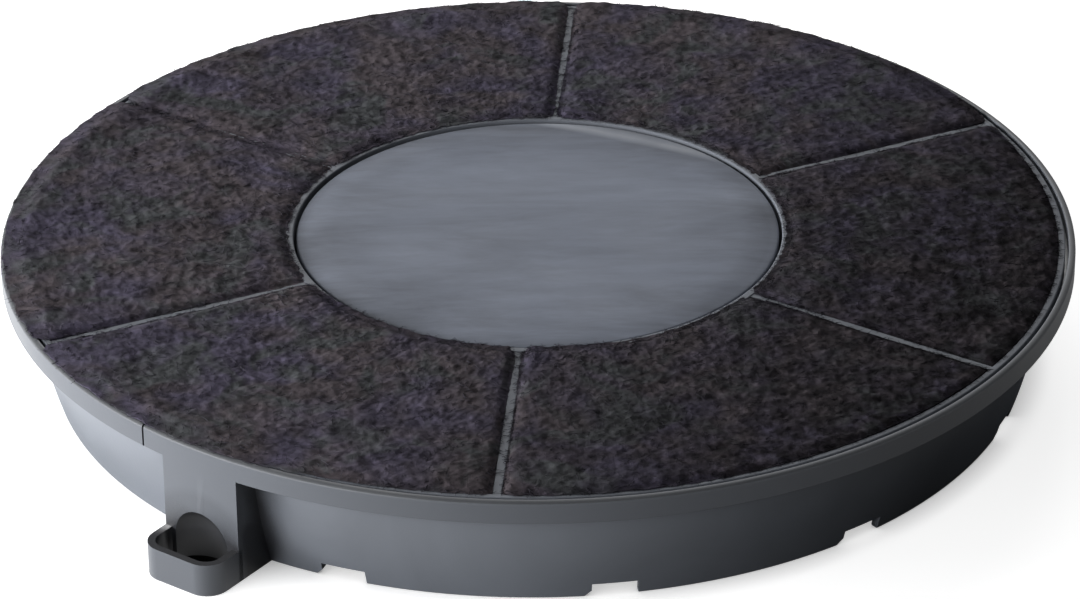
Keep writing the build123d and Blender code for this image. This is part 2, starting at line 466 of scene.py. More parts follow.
def add_relief(tree, shader, height, strength, distance):
    bump = node(tree, "ShaderNodeBump", {"Strength": strength, "Distance": distance, "Height": height})
    tree.links.new(bump.outputs["Normal"], shader["Normal"])


# Shared shader effects


def effect(name, inputs, *outputs):
    """Makes a shared node group of a function that returns its results. It is built once, where first used."""

    def wrap(build):
        def new_group():
            group = bpy.data.node_groups.new(name, "ShaderNodeTree")
            for label, value in inputs.items():
                kind = "NodeSocketVector" if isinstance(value, tuple) else "NodeSocketFloat"
                group.interface.new_socket(label, in_out="INPUT", socket_type=kind).default_value = value
            for label in outputs:
                group.interface.new_socket(label, in_out="OUTPUT", socket_type="NodeSocketFloat")
            given = group.nodes.new("NodeGroupInput").outputs
            results = build(group, object_place(group), given)
            if len(outputs) == 1:
                results = (results,)
            for socket, result in zip(group.nodes.new("NodeGroupOutput").inputs, results):
                group.links.new(result, socket)
            return group

        def placed(tree, **values):
            holder = tree.nodes.new("ShaderNodeGroup")
            holder.node_tree = bpy.data.node_groups.get(name) or new_group()
            for key, value in values.items():
                holder.inputs[key.replace("_", " ").capitalize()].default_value = value
            return holder.outputs

        return placed

    return wrap


@effect("Moulded grain", {"Grain size": 1400.0, "Drift size": 22.0}, "Height", "Drift")
def moulded_grain(tree, place, given):
    """Fine matt grain of moulded plastic, and the slow drift of its tone."""
    fine = noise(tree, place, given["Grain size"], 3.0, 0.6)
    soft = noise(tree, place, 170.0, 2.0, 0.5)
    height = maths(tree, "MULTIPLY_ADD", soft, 0.55, times(tree, fine, 0.45))
    return height, spread(tree, noise(tree, place, given["Drift size"], 4.0, 0.55, 0.6), 0.32, 0.68)


@effect("Rubbed edges", {"Radius": 0.6 * MM}, "Mask")
def rubbed_edges(tree, place, given):
    """Mask of rubbed outer edges, broken up by noise."""
    soft = node(tree, "ShaderNodeBevel", {"Radius": given["Radius"]}, samples=4).outputs["Normal"]
    edge = spread(tree, vectors(tree, "DOT_PRODUCT", soft, surface_normal(tree)), 0.995, 0.86)
    patches = spread(tree, noise(tree, place, 260.0, 3.0, 0.65), 0.38, 0.72)
    return times(tree, edge, patches, clamp=True)


@effect("Settled dust", {"Amount": 0.5}, "Mask")
def settled_dust(tree, place, given):
    """Mask of pale lint and dust, thicker on faces that look up."""
    specks = spread(tree, noise(tree, place, 900.0, 2.0, 0.7), 0.66, 0.78)
    film = spread(tree, noise(tree, place, 34.0, 4.0, 0.6), 0.35, 0.8, 0.0, 0.5)
    amount = times(tree, maths(tree, "ADD", specks, film, clamp=True), given["Amount"])
    return times(tree, amount, upward(tree, 0.2, 1.0, 0.25, 1.0), clamp=True)


@effect("Wiped streaks", {"Turn": 0.0}, "Mask")
def wiped_streaks(tree, place, given):
    """Long soft streaks, as left by wiping or by the flow of the plastic."""
    drawn = drawn_out(tree, spun(tree, place, given["Turn"]), (1.0, 4.0, 1.0))
    wide = spread(tree, noise(tree, drawn, 14.0, 5.0, 0.6, 0.8), 0.36, 0.7)
    fine = spread(tree, noise(tree, drawn, 75.0, 3.0, 0.7, 0.4), 0.35, 0.7)
    return maths(tree, "MULTIPLY_ADD", wide, 0.7, times(tree, fine, 0.3))


@effect("Needled mat", {"Clump size": 420.0}, "Tone", "Height", "Drift", "Second drift", "Stain")
def needled_mat(tree, place, given):
    """Mat of needled fibres whose tone follows its height, partly its own colour and partly painted shade: dark
    hollows, paler crossing strands and drifts of tone.
    """
    first, second, third = (
        noise(tree, drawn_out(tree, spun(tree, place, turn), (1.0, 4.0, 2.0)), 330.0, 1.0, 0.5, 1.2)
        for turn in (0.35, 1.45, 2.5)
    )
    strands = maths(tree, "MAXIMUM", maths(tree, "MAXIMUM", first, second), third)
    clumps = noise(tree, place, given["Clump size"], 2.0, 0.5, 0.6)
    blotches = spread(tree, noise(tree, place, 165.0, 3.0, 0.6, 0.4), 0.34, 0.68, 0.0, 0.56)
    tone = spread(tree, clumps, 0.36, 0.66, 0.0, 0.42)
    tone = maths(tree, "MULTIPLY_ADD", spread(tree, strands, 0.54, 0.80), 0.14, tone)
    return (
        maths(tree, "ADD", tone, blotches, clamp=True),
        maths(tree, "MULTIPLY_ADD", strands, 0.4, times(tree, clumps, 0.6)),
        spread(tree, noise(tree, place, 52.0, 2.5, 0.6, 0.5), 0.40, 0.60),
        spread(tree, noise(tree, place, 66.0, 2.5, 0.6, 0.8), 0.50, 0.64),
        # Patches that break up the painted shade on the felt's side away from the lights.
        spread(tree, noise(tree, place, 270.0, 3.0, 0.6, 0.4), 0.36, 0.62, 0.42, 1.0),
    )


@effect("Soiled side", {"Turn": 0.35}, "Mask")
def painted_shaded_side(tree, place, given):
    """Mask that grows towards the side away from the lights, where shade is painted."""
    return spread(tree, part_of(tree, spun(tree, place, given["Turn"]), "X"), 8 * MM, 90 * MM)


@effect("Dull outer faces", {"Radius": 116.5 * MM}, "Mask", "Rim top")
def painted_shade_outer_faces(tree, place, given):
    """Mask of the outermost faces, where painted shade makes them duller than the wall, and of the rim's top among
    them, where darker painted shade hides a highlight.
    """
    outer = spread(tree, maths(tree, "SUBTRACT", off_axis(tree, place), given["Radius"]), -2.2 * MM, -0.8 * MM)
    return outer, times(tree, outer, upward(tree, 0.15, 0.6))


@effect("Rubbed strip", {"Turn": -1.195, "Chord": 46.8 * MM, "Rim": 52.5 * MM}, "Strip", "Edge")
def painted_highlight_strip(tree, place, given):
    """Masks of the disc: a painted highlight as a pale strip beyond a chord near its edge, and painted shade that
    darkens its edge.
    """
    along = part_of(tree, spun(tree, place, given["Turn"]), "X")
    beyond = maths(tree, "SUBTRACT", along, given["Chord"])
    rise = spread(tree, beyond, -1.0 * MM, 2.0 * MM)
    fall = spread(tree, beyond, 0.8 * MM, 5.0 * MM, 1.0, 0.3)
    patchy = spread(tree, noise(tree, place, 120.0, 3.0, 0.6), 0.3, 0.6, 0.75, 1.0)
    inside = maths(tree, "SUBTRACT", given["Rim"], off_axis(tree, place))
    return times(tree, times(tree, rise, fall), patchy), spread(tree, inside, 22 * MM, 1 * MM)


@effect("Grime in hollows", {"Reach": 10 * MM, "Handled spot": (0.0, 0.0, 0.0)}, "Mask")
def painted_shade_in_hollows(tree, place, given):
    """Mask of painted shade in hollows and inner corners, with more round the finger loop and in its scoop."""
    hollow = node(tree, "ShaderNodeAmbientOcclusion", {"Distance": given["Reach"]}, samples=8, only_local=True)
    away = vectors(tree, "DISTANCE", place, given["Handled spot"])
    spot_shade = times(tree, spread(tree, away, 30 * MM, 13 * MM, 0.0, 0.46), upward(tree, 0.3, 0.9, 1.0, 2.2))
    openness = maths(tree, "SUBTRACT", hollow.outputs["AO"], spot_shade)
    sunk = spread(tree, off_axis(tree, place), LIP_RADIUS - 0.5 * MM, LIP_RADIUS - 3.5 * MM, 0.0, 0.34)
    in_scoop = times(tree, sunk, spread(tree, away, 13.5 * MM, 11.5 * MM))
    return spread(tree, maths(tree, "SUBTRACT", openness, in_scoop), 0.60, 0.28)


@effect("Packed granules", {"Grain size": 480.0}, "Height", "Tone")
def packed_granules(tree, place, given):
    """Packed granules: a cell pattern with dark gaps."""
    cells = node(tree, "ShaderNodeTexVoronoi", {"Vector": place, "Scale": given["Grain size"]}).outputs
    return spread(tree, cells["Distance"], 0.0, 0.7, 1.0, 0.0), part_of(tree, cells["Color"], "X")


# Materials

DUST = (0.30, 0.29, 0.28, 1)
FELT_DUST = (0.20, 0.19, 0.18, 1)
# Colour of the painted shade in hollows, corners and round the finger loop.
HOLLOW_SHADE = (0.006, 0.006, 0.008, 1)
# Colour of the painted shade on the felt's side away from the lights.
SHADED_FELT = (0.0058, 0.0047, 0.0062, 1)
# Colour of the painted highlight near the disc's far edge.
PAINTED_HIGHLIGHT = (0.38, 0.40, 0.44, 1)


def made_once(build):
    """A material that exists already is used again."""

    def find(name, *values, **more):
        return bpy.data.materials.get(name) or build(name, *values, **more)

    return find


def new_material(name, roughness, shine=0.5, sheen=0.0):
    """Material with a plain shader, whose even values are set on its own sockets."""
    material = bpy.data.materials.new(name)
    material.use_nodes = True
    shader = material.node_tree.nodes["Principled BSDF"].inputs
    shader["Roughness"].default_value = roughness
    shader["Specular IOR Level"].default_value = shine
    shader["Sheen Weight"].default_value = sheen
    return material, material.node_tree, shader


def loop_centre():
    """Middle of the finger loop, round which shade is painted."""
    sizes = settings().housing
    return (LIP_RADIUS * math.cos(sizes.tab_angle), LIP_RADIUS * math.sin(sizes.tab_angle), 0.5 * sizes.loop_height)


@made_once
def plastic_material(name, base, roughness, dust, shine=0.5, grain=1400.0, bump=0.12, streaks=0.0, strip=False):
    """Satin moulded plastic with grain, drift of tone, rubbed edges and dust, with painted shade in hollows and on the
    outer faces, and on the disc a painted highlight strip and painted shade towards its edge.
    """
    material, tree, shader = new_material(name, roughness, shine)
    grained = moulded_grain(tree, Grain_size=grain)
    outer = painted_shade_outer_faces(tree, Radius=LIP_RADIUS)
    smears = wiped_streaks(tree, Turn=-0.08)["Mask"]
    rubbed = rubbed_edges(tree)["Mask"]
    lint = settled_dust(tree, Amount=dust)["Mask"]
    hollow_shade_mask = painted_shade_in_hollows(tree, Handled_spot=loop_centre())["Mask"]
    tone = blend(tree, grained["Drift"], scaled(base, 0.86), scaled(base, 1.14))
    # On the disc: a painted highlight strip near the far edge, and painted shade towards the edge.
    if strip:
        painted_light = painted_highlight_strip(tree)
        edge = times(tree, painted_light["Edge"], 0.9)
        tone = layered(tree, tone, (edge, scaled(base, 0.5)), (painted_light["Strip"], PAINTED_HIGHLIGHT))
    tone = layered(
        tree,
        tone,
        # Painted shade: the lip's outer band darker than the wall, and its top darker still where a highlight would
        # show.
        (outer["Mask"], scaled(base, 0.64)),
        (outer["Rim top"], scaled(base, 0.22)),
        (times(tree, smears, streaks), scaled(base, 1.7)),
        (times(tree, rubbed, 0.1), scaled(base, 2.3)),
        (times(tree, lint, 0.5), DUST),
        # Painted shade: hollows, corners and the finger loop's surroundings darkened nearly to black.
        (times(tree, hollow_shade_mask, 0.93), HOLLOW_SHADE),
    )
    tree.links.new(tone, shader["Base Color"])
    rough = spread(tree, grained["Drift"], 0.0, 1.0, roughness - 0.05, roughness + 0.07)
    rough = maths(tree, "MULTIPLY_ADD", lint, 0.2, rough, clamp=True)
    rough = maths(tree, "MULTIPLY_ADD", outer["Rim top"], 0.35, rough, clamp=True)
    tree.links.new(rough, shader["Roughness"])
    add_relief(tree, shader, grained["Height"], bump, 0.4 * MM)
    return material


def housing_plastic():
    return plastic_material("moulded_housing", settings().finishes.plastic, roughness=0.34, dust=0.2)


@made_once
def felt_material(name, base):
    """Dark needled felt of mixed fibres, with faint brown, violet and green tints, and patchy painted shade on the
    side away from the lights.
    """
    material, tree, shader = new_material(name, 0.9, shine=0.0, sheen=0.03)
    mat = needled_mat(tree)
    brown = scaled(base, 1.11, 1.00, 0.89)
    violet = scaled(base, 1.02, 0.97, 1.16)
    green = scaled(base, 0.94, 1.06, 0.90)
    tint = blend(tree, mat["Drift"], brown, violet)
    tint = blend(tree, mat["Second drift"], tint, green)
    # Painted shade: the felt darkens in patches towards the side away from the lights.
    tint = blend(tree, times(tree, painted_shaded_side(tree)["Mask"], mat["Stain"]), tint, SHADED_FELT)
    share = spread(tree, mat["Tone"], 0.0, 1.0, 0.42, 2.08)
    tone = node(tree, "ShaderNodeVectorMath", {0: tint, "Scale": share}, operation="SCALE").outputs["Vector"]
    tone = blend(tree, times(tree, settled_dust(tree, Amount=0.3)["Mask"], 0.1), tone, FELT_DUST)
    tree.links.new(tone, shader["Base Color"])
    add_relief(tree, shader, mat["Height"], 0.36, 0.8 * MM)
    return material


def felt_finish():
    return felt_material("needled_felt", settings().finishes.felt)


def fibre_material(base):
    """Single loose fibres, of the felt's colours, with painted shade on the side away from the lights."""
    material, tree, shader = new_material("loose_fibre", 0.8, shine=0.0, sheen=0.03)
    drift = moulded_grain(tree, Drift_size=380.0)["Drift"]
    tone = blend(tree, drift, scaled(base, 0.6), scaled(base, 1.35))
    # Painted shade: the fibres darken towards the side away from the lights.
    tone = blend(tree, painted_shaded_side(tree)["Mask"], tone, scaled(base, 0.2))
    tree.links.new(tone, shader["Base Color"])
    return material


def carbon_material(base):
    """Black granules with a faint glint."""
    material, tree, shader = new_material("carbon_granules", 0.45)
    grains = packed_granules(tree)
    tone = blend(tree, grains["Tone"], scaled(base, 0.5), scaled(base, 2.2))
    tree.links.new(tone, shader["Base Color"])
    tree.links.new(spread(tree, grains["Tone"], 0.0, 1.0, 0.3, 0.7), shader["Roughness"])
    add_relief(tree, shader, grains["Height"], 0.9, 1 * MM)
    return material


# Housing

NOTCH_PLACES = 12
NOTCH_LEFT_OUT = 7
WALL_STEPS = 10
CORNER_STEPS = 8


def lip_bottom(sizes):
    return TOTAL_HEIGHT - sizes.lip_height


def wall_radius(sizes, height):
    """Outer radius of the wall: one arc from the bottom edge to the shoulder."""
    rise = lip_bottom(sizes)
    run = sizes.shoulder_radius - sizes.bottom_radius
    chord = math.hypot(run, rise)
    arc = chord**2 / (8 * sizes.wall_bulge) + sizes.wall_bulge / 2
    inset = arc - sizes.wall_bulge
    centre_r = (sizes.shoulder_radius + sizes.bottom_radius) / 2 - inset * rise / chord
    centre_z = rise / 2 + inset * run / chord
    return centre_r + math.sqrt(arc**2 - (height - centre_z) ** 2)


def inner_radius(sizes, height):
    taper = (sizes.shoulder_radius - sizes.bottom_radius) / lip_bottom(sizes)
    return sizes.bottom_radius - sizes.wall_thickness + taper * min(height, lip_bottom(sizes))


def wall_points(sizes, low, high, steps, share=0.0):
    """Corners along the wall, each as (radius, height, rounding)."""
    heights = [low + (high - low) * i / steps for i in range(steps + 1)]
    return [(wall_radius(sizes, z) - share * sizes.wall_thickness, z, 0) for z in heights]


def housing_outline(sizes):
    under = lip_bottom(sizes)
    flange_top = under + sizes.flange_thickness
    upstand = LIP_RADIUS - sizes.lip_wall
    ledge_low = sizes.ledge_top - sizes.ledge_thickness
    ledge_inner = inner_radius(sizes, sizes.ledge_top) - sizes.ledge_width
    small = sizes.small_rounding
    margin = 1.5 * MM
    corners = [(inner_radius(sizes, 0), 0, small), (sizes.bottom_radius, 0, small)]
    corners += wall_points(sizes, margin, under - margin, WALL_STEPS)
    corners += [
        (sizes.shoulder_radius, under, small),
        (LIP_RADIUS, under, small),
        (LIP_RADIUS, TOTAL_HEIGHT, sizes.lip_rounding),
        (upstand, TOTAL_HEIGHT, small),
        (upstand, flange_top, 0),
        (inner_radius(sizes, under), flange_top, small),
        (inner_radius(sizes, under), under, 0),
        (inner_radius(sizes, sizes.ledge_top), sizes.ledge_top, 0),
        (ledge_inner, sizes.ledge_top, small),
        (ledge_inner, ledge_low, small),
        (inner_radius(sizes, ledge_low), ledge_low, small),
    ]
    return rounded_outline(corners)


def scoop_cutter(sizes):
    """Upright cutter with a round top, at the block's face."""
    radius, rise = sizes.scoop_radius, sizes.scoop_rise
    tiny = 0.01 * MM
    arc = [math.radians(a) for a in range(0, 86, 5)]
    outline = [(tiny, -3 * OVERCUT), (radius, -3 * OVERCUT)]
    outline += [(radius * math.cos(a), rise + radius * math.sin(a)) for a in arc]
    outline.append((tiny, rise + radius))
    scoop = lathe("scoop", outline, 72)
    scoop.location = (LIP_RADIUS + radius - sizes.scoop_inset, 0, 0)
    return turned_to(settle(scoop), sizes.tab_angle)


def tab_block(sizes):
    """Block from the wall out to the lip's radius, with the fingertip scoop."""
    top = lip_bottom(sizes) + OVERCUT
    corners = wall_points(sizes, 0, lip_bottom(sizes), 6, 0.5)
    corners += [(sizes.shoulder_radius - 0.5 * sizes.wall_thickness, top, 0), (LIP_RADIUS, top, 0), (LIP_RADIUS, 0, 0)]
    block = lathe("block", rounded_outline(corners), WIDE_RING)
    half = sizes.tab_width / 2
    inside, outside = 0.1, 0.12
    sides = [(inside, -half), (outside, -half), (outside, half), (inside, half)]
    keep = prism("keep", sides, -OVERCUT, top + OVERCUT)
    block = combine(block, turned_to(keep, sizes.tab_angle), "INTERSECT")
    return combine(block, scoop_cutter(sizes), "DIFFERENCE")


def loop_outline(near, far, half, corner):
    corners = [(near, -half, 0), (far, -half, corner), (far, half, corner), (near, half, 0)]
    return rounded_outline(corners, CORNER_STEPS)


def finger_loop(sizes):
    """Flat loop with rounded corners, open from top to bottom."""
    wall = sizes.loop_wall
    near = LIP_RADIUS - wall
    far = LIP_RADIUS + sizes.loop_reach
    half = sizes.tab_width / 2
    loop = prism("loop", loop_outline(near, far, half, sizes.loop_corner), 0, sizes.loop_height)
    inner = loop_outline(near - 2 * OVERCUT, far - wall, half - wall, sizes.loop_corner - wall)
    hole = prism("hole", inner, -OVERCUT, sizes.loop_height + OVERCUT)
    return turned_to(combine(loop, hole, "DIFFERENCE"), sizes.tab_angle)


def notch_cutter(sizes, turn):
    """Prism that cuts one notch, square at one end and with a cut corner at the other."""
    half = sizes.notch_width / 2
    over = 2 * OVERCUT
    outline = [
        (-half - sizes.notch_corner - over, -over),
        (half, -over),
        (half, sizes.notch_depth),
        (-half, sizes.notch_depth),
        (-half, sizes.notch_corner),
    ]
    near = sizes.bottom_radius - sizes.wall_thickness - over
    cutter = prism("notch", outline, near, near + sizes.wall_thickness + 2 * over)
    return turned_to(laid(cutter, (0, 0, 1), (1, 0, 0), (0, 1, 0)), turn)


def slit_cutter(sizes):
    half = sizes.slit_width / 2
    near, far = LIP_RADIUS - sizes.slit_depth, LIP_RADIUS + OVERCUT
    low = lip_bottom(sizes) - 0.05 * MM
    high = low + (sizes.lip_height + 2 * OVERCUT)
    slit = prism("slit", [(near, -half), (far, -half), (far, half), (near, half)], low, high)
    return turned_to(slit, sizes.slit_angle)


def model_housing(sizes):
    body = lathe("housing_shell", housing_outline(sizes), WIDE_RING)
    body = combine(body, tab_block(sizes), "UNION")
    body = combine(body, finger_loop(sizes), "UNION")
    for i in range(NOTCH_PLACES):
        if i != NOTCH_LEFT_OUT:
            turn = sizes.notch_first + math.radians(360 / NOTCH_PLACES * i)
            body = combine(body, notch_cutter(sizes, turn), "DIFFERENCE")
    body = combine(body, slit_cutter(sizes), "DIFFERENCE")
    return finish_moulding(body, 0.18 * MM, 35)


class HOODFILTER_OT_housing(bpy.types.Operator):
    """Models the moulded housing with its lip, wall, notches, block and finger loop"""

    bl_idname = "hood_filter.housing"
    bl_label = "Housing"

    def execute(self, context):
        piece = model_housing(settings().housing)
        complete(piece, housing_plastic(), "housing_plastic", "housing")
        return {"FINISHED"}


# Cover frame


def foot_trim(housing, low):
    """Cutter for a spoke's outer end, which leaves a gap to the wall under the flange."""
    gap = 0.3 * MM
    under = lip_bottom(housing)
    foot_end = inner_radius(housing, low) - gap
    foot_top = inner_radius(housing, under) - gap
    flange_top = under + housing.flange_thickness
    outside = 0.13
    outline = [(foot_end, low - OVERCUT), (outside, low - OVERCUT), (outside, flange_top), (foot_top, flange_top)]
    outline.append((foot_top, flange_top - housing.flange_thickness))
    return laid(prism("trim", outline, -3 * OVERCUT, 3 * OVERCUT), (1, 0, 0), (0, 0, -1), (0, 1, 0))


def spoke_bar(sizes, housing, turn):
    """One spoke with its foot, narrower below, rounded along its top."""
    inner = sizes.disc_radius + sizes.disc_gap + sizes.inner_width / 2
    outer = LIP_RADIUS - housing.lip_wall - sizes.seam - sizes.ring_width / 2
    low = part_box("carbon_bed_1")[0][2]
    half_top, half_foot = sizes.spoke_width / 2, sizes.foot_width / 2
    section = [
        (-half_foot, low, 0),
        (half_foot, low, 0),
        (half_top, SPOKE_TOP, sizes.rounding),
        (-half_top, SPOKE_TOP, sizes.rounding),
    ]
    bar = laid(prism("spoke", rounded_outline(section, 3), inner, outer), (0, 0, 1), (1, 0, 0), (0, 1, 0))
    return turned_to(combine(bar, foot_trim(housing, low), "DIFFERENCE"), turn)


def ring_outline(near, far, low, high, edge):
    return rounded_outline([(near, low, 0), (far, low, 0), (far, high, edge), (near, high, edge)])


def model_cover_frame(sizes, housing):
    flange_top = lip_bottom(housing) + housing.flange_thickness
    bottom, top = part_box("cover_frame")[0][2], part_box("cover_frame")[1][2]
    outer = LIP_RADIUS - housing.lip_wall - sizes.seam
    outline = ring_outline(outer - sizes.ring_width, outer, flange_top, top, sizes.rounding)
    body = lathe("cover_frame_shell", outline, WIDE_RING)
    near = sizes.disc_radius + sizes.disc_gap
    outline = ring_outline(near, near + sizes.inner_width, bottom, top, sizes.rounding)
    body = combine(body, lathe("inner_ring", outline, SMALL_RING), "UNION")
    for i in range(SPOKE_COUNT):
        body = combine(body, spoke_bar(sizes, housing, FIRST_SPOKE + math.tau * i / SPOKE_COUNT), "UNION")
    return finish_moulding(body, 0.15 * MM, 40)


class HOODFILTER_OT_cover_frame(bpy.types.Operator):
    """Models the cover frame: outer ring, spokes and inner ring"""

    bl_idname = "hood_filter.cover_frame"
    bl_label = "Cover frame"

    def execute(self, context):
        kit = settings()
        piece = model_cover_frame(kit.cover, kit.housing)
        finish = plastic_material("moulded_frame", kit.finishes.frame, roughness=0.6, dust=0.15, shine=0.15)
        complete(piece, finish, "frame_plastic", "cover_frame")
        return {"FINISHED"}


# Hub cup


def model_hub_cup(sizes):
    low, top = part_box("hub_cup")[0][2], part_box("hub_cup")[1][2]
    grille_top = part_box("rear_grille")[1][2]
    flange_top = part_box("cover_frame")[0][2]
    rim = sizes.disc_radius
    edge_top = top - sizes.disc_drop
    under = top - sizes.disc_drop - sizes.disc_thickness
    bore = rim - sizes.hub_wall
    flange = rim + sizes.hub_flange
    tiny = 0.02 * MM
    small = 0.2 * MM
    outline = [(tiny, under, 0), (bore, under, 0.8 * MM), (bore, low, 0.5 * MM), (rim, low, small)]
    outline += [(rim, grille_top, 0), (flange, grille_top, small), (flange, flange_top, small)]
    outline += [(rim, flange_top, 0), (rim, edge_top, 0.45 * MM)]
    for share in (i / 12 for i in range(1, 13)):
        radius = rim - sizes.disc_edge * (0.1 + 0.9 * share)
        outline.append((radius, top - sizes.disc_drop * (1 - share) ** 2, 0))
    outline += [((rim - sizes.disc_edge) * share, top, 0) for share in (0.8, 0.6, 0.4, 0.2)]
    outline.append((tiny, top, 0))
    return shade(lathe("hub_cup_shell", rounded_outline(outline), SMALL_RING), 32)


class HOODFILTER_OT_hub_cup(bpy.types.Operator):
    """Models the hub cup, whose end is the smooth centre disc"""

    bl_idname = "hood_filter.hub_cup"
    bl_label = "Hub cup"

    def execute(self, context):
        kit = settings()
        piece = model_hub_cup(kit.cover)
        # The strip is a painted highlight near the disc's far edge, with painted shade towards its edge.
        texture = {"grain": 1000.0, "bump": 0.08, "streaks": 0.75, "strip": True}
        finish = plastic_material("moulded_disc", kit.finishes.disc, roughness=0.7, dust=0.2, shine=0.2, **texture)
        complete(piece, finish, "disc_plastic", "hub_cup")
        return {"FINISHED"}


# Felt

# Rows of a pad's grid that make its folded edge, and the share of the lap and the height over the
# plastic of each: the second and third lie farthest out.
FOLD = 4
FOLD_SHARES = np.array([0.0, 1.0, 1.0, 0.55, 0.0])
FOLD_LIFTS = np.array([-0.05, 0.07, 0.24, 0.4]) * MM

# Parts of the ring, as first heading, last heading and length of the soft ends, in degrees.
OVER_THE_RIM = (32, 250, 30)
RIM_IN_VIEW = (120, 235, 30)
FRONT_OF_DISC = (218, 290, 24)
LEFT_OF_DISC = (140, 215, 30)
HIGH_RIM = (128, 182, 30)


def ragged(places, draw, size, waves=9):
    """Smooth random values between 0 and 1 along an edge, with waves of about the given size."""
    total = np.zeros_like(places)
    for _ in range(waves):
        pitch = size * draw.uniform(0.5, 2.2)
        total += np.sin(math.tau * places / pitch + draw.uniform(0, math.tau))
    return np.clip(0.5 + 0.5 * total / math.sqrt(waves), 0, 1)


def eased(values):
    share = np.clip(values, 0, 1)
    return share * share * (3 - 2 * share)


def window(heading, first, last, blend_length):
    """1 between two headings in degrees and 0 elsewhere, with soft ends."""
    degrees = np.degrees(heading) % 360
    return eased((degrees - first) / blend_length + 0.5) * eased((last - degrees) / blend_length + 0.5)


def fold_share(rows):
    return FOLD_SHARES[np.minimum(rows, FOLD)]


def fold_height(rows, plastic, surface):
    folded = np.minimum(plastic + FOLD_LIFTS[np.minimum(rows, FOLD - 1)], surface)
    return np.where(rows < FOLD, folded, surface)


def pad_plan(sizes, rows, cols, start, stop, near, far, offset, laps, draw):
    """Radius, heading and inset of every point of a pad's top, and where it laps over the lip."""
    across, along = sizes.angular_steps, sizes.radial_steps
    row_end, col_end = np.minimum(rows, along - rows), np.minimum(cols, across - cols)
    about = start + (stop - start) * cols / across
    outer_lap = sizes.outer_lap * (0.8 + 0.4 * ragged(about * far, draw, 5 * MM))
    outer_lap *= 1 - 0.7 * window(about + math.pi, *RIM_IN_VIEW)
    outer_lap += sizes.far_lap * window(about, *OVER_THE_RIM) * (0.72 + 0.1 * ragged(about * far, draw, 7 * MM))
    inner_lap = sizes.inner_lap * (0.8 + 0.4 * ragged(about * near, draw, 4 * MM))
    inner_lap += sizes.front_lap * (window(about, *FRONT_OF_DISC) - 0.3 * window(about, *LEFT_OF_DISC))
    outside = rows > along / 2
    inward = (far - near) * np.clip(rows - FOLD, 0, along - 2 * FOLD) / (along - 2 * FOLD)
    lap = np.where(outside, outer_lap, -inner_lap) * fold_share(row_end)
    radius = near + inward + lap * np.clip(col_end / (2 * FOLD), 0, 1)
    lean = np.arcsin(offset / radius)
    share = np.clip(cols - FOLD, 0, across - 2 * FOLD) / (across - 2 * FOLD)
    second = cols > across / 2
    own_lap = np.where(second, laps[1], laps[0])
    spoke_lap = sizes.clearance + own_lap + 0.24 * MM * (ragged(radius + second, draw, 4 * MM) - 0.4)
    spoke_lap += sizes.inner_spoke_lap * eased((near + 26 * MM - radius) / (20 * MM))
    lap = np.where(second, 1, -1) * spoke_lap * fold_share(col_end) * np.clip(row_end / (2 * FOLD), 0, 1)
    heading = start + lean + (stop - start - 2 * lean) * share + lap / radius
    side = np.minimum(share, 1 - share) * (stop - start) * radius
    inset = np.minimum(np.minimum(side, inward), far - near - inward)
    on_lip = outside & (outer_lap > 1.3 * MM)
    return radius, heading, side, inset, on_lip


def pad_surface(sizes, radius, heading, side, inset, near, far, high, draw):
    """Height of a pad's top without its folded edge, and how far each point lies in the falling edge."""
    falling = 1 - np.clip(inset / sizes.edge_width, 0, 1)
    waves = 0.15 * MM * (ragged(radius, draw, 22 * MM) + ragged(heading * near, draw, 26 * MM) - 1)
    beside_spoke = 1 - np.clip(side / sizes.edge_width, 0, 1)
    surface = high - sizes.edge_fall * falling**2 - sizes.spoke_fall * beside_spoke**2 + waves
    rim = window(heading, *OVER_THE_RIM) * eased((radius - far) / (9 * MM) + 1)
    return surface + sizes.far_rise * rim * (1 + 0.8 * window(heading, *HIGH_RIM)), falling


def felt_sector(name, sizes, start, stop, near, far, offset, laps, draw, low, high):
    """Closed pad between two spokes. Its edges lap over the plastic, and its top is slightly wavy."""
    let_go()
    across, along = sizes.angular_steps, sizes.radial_steps
    bpy.ops.mesh.primitive_grid_add(x_subdivisions=across, y_subdivisions=along, size=2)
    piece = named(name)
    places = np.empty(len(piece.data.vertices) * 3)
    piece.data.vertices.foreach_get("co", places)
    places = places.reshape(-1, 3)
    cols = across - np.rint((places[:, 0] + 1) / 2 * across).astype(int)
    rows = np.rint((places[:, 1] + 1) / 2 * along).astype(int)
    row_end, col_end = np.minimum(rows, along - rows), np.minimum(cols, across - cols)
    radius, heading, side, inset, on_lip = pad_plan(sizes, rows, cols, start, stop, near, far, offset, laps, draw)
    surface, falling = pad_surface(sizes, radius, heading, side, inset, near, far, high, draw)
    rim_top = np.where(on_lip & (row_end > 0), TOTAL_HEIGHT, FRAME_TOP)
    places[:, 0] = radius * np.cos(heading)
    places[:, 1] = radius * np.sin(heading)
    by_spoke = fold_height(col_end, SPOKE_TOP, surface)
    places[:, 2] = np.minimum(by_spoke, fold_height(row_end, rim_top, surface))
    piece.data.vertices.foreach_set("co", places.ravel())
    loose = piece.vertex_groups.new(name="loose")
    weights = np.where(np.minimum(row_end, col_end) < FOLD - 1, 0.0, 1 - 0.6 * falling)
    for i, weight in enumerate(weights):
        loose.add((i,), float(weight), "REPLACE")
    for i, (size, height) in enumerate(((1.0, 1.0), (0.4, 0.5))):
        clumps = (sizes.clump_size * size, sizes.clump_height * height)
        raise_clumps(piece, f"{name}_clumps_{i}", *clumps, 0.55)
    with all_selected(piece):
        bpy.ops.mesh.region_to_loop()
        bpy.ops.mesh.extrude_edges_move()
        bpy.ops.transform.resize(value=(1, 1, 0), center_override=(0, 0, low))
        bpy.ops.mesh.edge_face_add()
    return mend(piece)


